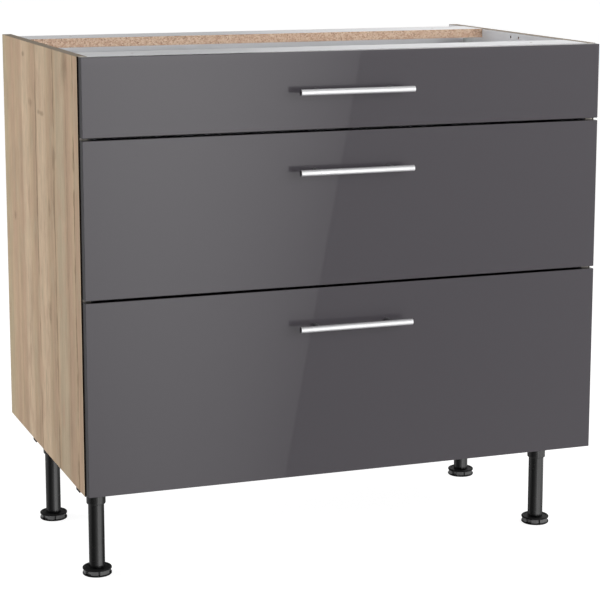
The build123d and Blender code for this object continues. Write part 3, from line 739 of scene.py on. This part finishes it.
def make_floor():
    """Pale matt floor, which the camera sees as white apart from the cabinet's shadow."""
    mesh = bpy.data.meshes.new("floor")
    reach = FLOOR_REACH
    corners = [(-reach, -reach, 0), (reach, -reach, 0), (reach, reach, 0), (-reach, reach, 0)]
    mesh.from_pydata(corners, [], [(0, 1, 2, 3)])
    floor = bpy.data.objects.new("floor", mesh)
    bpy.context.scene.collection.objects.link(floor)
    finish = Finish("floor")
    matt = finish.node("BsdfDiffuse", sockets={"Color": finish.opaque((FLOOR_WHITE,) * 3)})
    camera_ray = finish.node("LightPath", out="Is Camera Ray")
    lift = finish.node("Emission", sockets={"Color": WHITE, "Strength": camera_ray * FLOOR_LIFT})
    both = finish.node("AddShader", sockets={0: matt, 1: lift})
    finish.node("OutputMaterial", sockets={"Surface": both})
    mesh.materials.append(finish.material)
    floor.visible_glossy = False


def card_tone(finish, turn, height, card):
    """How light a card is at an angle and a height."""
    level, per_degree, per_square, per_metre = card
    tone = level + turn * per_degree + turn * turn * per_square + height * per_metre
    return finish.node("Clamp", sockets={"Value": tone, "Min": DIMMEST_CARD, "Max": BRIGHTEST})


def wall_tone(finish, turn, tones):
    """How light the wall is at an angle."""
    stops = [((at + 180.0) / 360.0, (tone / BRIGHTEST,) * 3) for at, tone in tones]
    around = finish.node("ValToRGB", {"stops": stops}, {0: (turn + 180.0) * (1.0 / 360.0)})
    return finish.axes(around)[0] * BRIGHTEST


def make_studio_walls():
    """Walls, ceiling and ground that only gloss and metal see."""
    bpy.ops.mesh.primitive_cylinder_add(
        vertices=STUDIO_CORNERS,
        radius=STUDIO_RADIUS,
        depth=STUDIO_HIGH - STUDIO_LOW,
        end_fill_type="NGON",
        location=(0, 0, (STUDIO_HIGH + STUDIO_LOW) / 2),
    )
    walls = bpy.context.object
    walls.name = "studio_walls"
    bpy.ops.object.transform_apply(location=True, rotation=True, scale=True)
    finish = Finish("studio_walls")
    x, y, z = finish.axes(finish.place())
    turn = x.turn_from(y * -1.0)
    high, low = (wall_tone(finish, turn, tones) for tones in (HIGH_TONES, LOW_TONES))
    below = finish.ramp(z, LOW_LEVEL + LEVEL_BLEND, LOW_LEVEL - LEVEL_BLEND)
    around = high * (1.0 - below) + low * below
    past_edge = finish.ramp(turn - (CARD_EDGE + z * CARD_LEAN), -EDGE_BLUR, EDGE_BLUR)
    left = card_tone(finish, turn, z, LEFT_CARD) * finish.ramp(turn, CARDS_FROM, CARDS_LIT)
    right = card_tone(finish, turn, z, RIGHT_CARD)
    cards = left * (1.0 - past_edge) + right * past_edge
    on_cards = (turn > CARDS_FROM) * (turn < CARDS_TO) * (z < CARD_TOP) * (z > LOW_LEVEL)
    on_ends = finish.facing()[UP] > MOSTLY_ON
    glow = cards * on_cards + around * (1.0 - on_cards)
    glow = glow * (1.0 - on_ends) + on_ends * STUDIO_ENDS
    light = finish.node("Emission", sockets={"Color": WHITE, "Strength": glow})
    finish.node("OutputMaterial", sockets={"Surface": light})
    walls.data.materials.append(finish.material)
    walls.visible_camera = False
    walls.visible_diffuse = False
    walls.visible_shadow = False
    walls.visible_transmission = False
    walls.visible_volume_scatter = False


def make_world():
    """Grey light from all round, and white where camera, gloss and glass look."""
    world = bpy.data.worlds.new("studio")
    bpy.context.scene.world = world
    finish = Finish("studio", world)
    height = finish.axes(finish.node("TexCoord", out="Generated"))[UP]
    grey = finish.ramp(height, FADE_LOW, FADE_HIGH, WORLD_GREY, WORLD_ABOVE)
    seen = finish.node("LightPath", out="Is Camera Ray")
    for ray in ("Is Glossy Ray", "Is Transmission Ray"):
        seen = seen | finish.node("LightPath", out=ray)
    strength = grey * (1.0 - seen) + seen
    light = finish.node("Background", sockets={"Color": WHITE, "Strength": strength})
    finish.node("OutputWorld", sockets={"Surface": light})


def make_lamp(name, place, aim, width, height, watts, spread):
    """Rectangular lamp that neither the camera nor gloss sees."""
    data = bpy.data.lights.new(name, "AREA")
    data.shape = "RECTANGLE"
    data.size, data.size_y = width, height
    data.energy = watts
    data.spread = radians(spread)
    lamp = bpy.data.objects.new(name, data)
    bpy.context.scene.collection.objects.link(lamp)
    lamp.location = place
    lamp.rotation_euler = (Vector(aim) - Vector(place)).to_track_quat("-Z", "Y").to_euler()
    lamp.visible_glossy = False
    lamp.visible_camera = False


def make_camera():
    """The camera, at the photograph's viewing angle."""
    data = bpy.data.cameras.new("camera")
    data.sensor_width = SENSOR_WIDTH
    data.lens = FOCAL_LENGTH
    data.shift_x, data.shift_y = SHIFT_ACROSS, SHIFT_UP
    data.clip_end = VIEW_REACH
    camera = bpy.data.objects.new("camera", data)
    bpy.context.scene.collection.objects.link(camera)
    camera.location = CAMERA_PLACE
    camera.rotation_euler = (radians(90.0 - CAMERA_TILT), 0.0, radians(-CAMERA_TURN))
    bpy.context.scene.camera = camera


make_floor()
make_studio_walls()
make_world()
for lamp in LAMPS:
    make_lamp(*lamp)
make_camera()
bpy.context.scene.view_settings.view_transform = "Standard"
